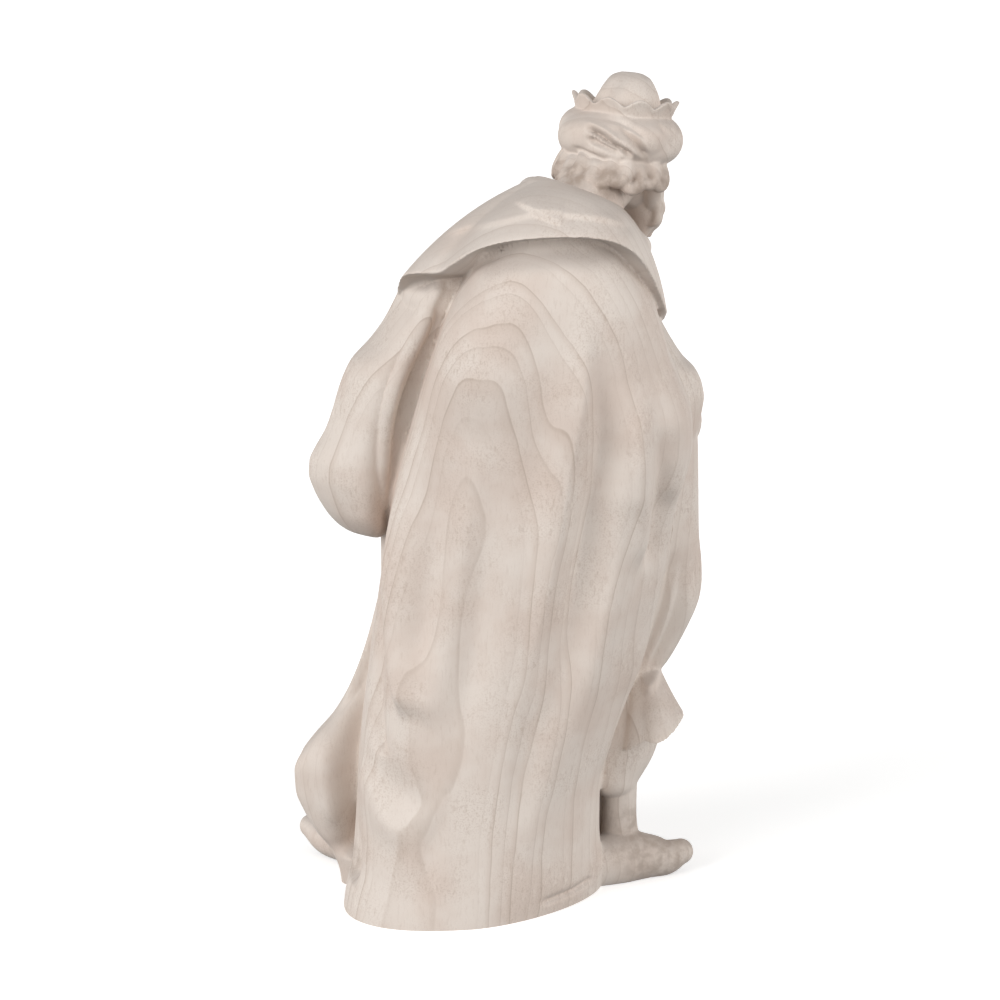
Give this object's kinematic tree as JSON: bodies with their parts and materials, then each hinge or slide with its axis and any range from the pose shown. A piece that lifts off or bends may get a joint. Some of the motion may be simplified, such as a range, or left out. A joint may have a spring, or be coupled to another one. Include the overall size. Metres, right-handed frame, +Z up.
{
  "type": "nativity wise man figurine",
  "caption": "Carved wooden figurine of a wise man for a nativity scene, stooping in a long cape and shoulder cape, with turban and crown, offering a covered gift.",
  "frame": {"origin": "middle of the figure's bounding box, on the plane of its flat underside", "axes": "+X to the figure's left, -Y the way the figure faces, +Z up"},
  "size_m": [0.0772, 0.0684, 0.15],
  "materials": {
    "pale_wood": "smoothly sanded, unstained, matte"
  },
  "bodies": {
    "root": {"wise_man": "pale_wood"}
  },
  "joints": []
}
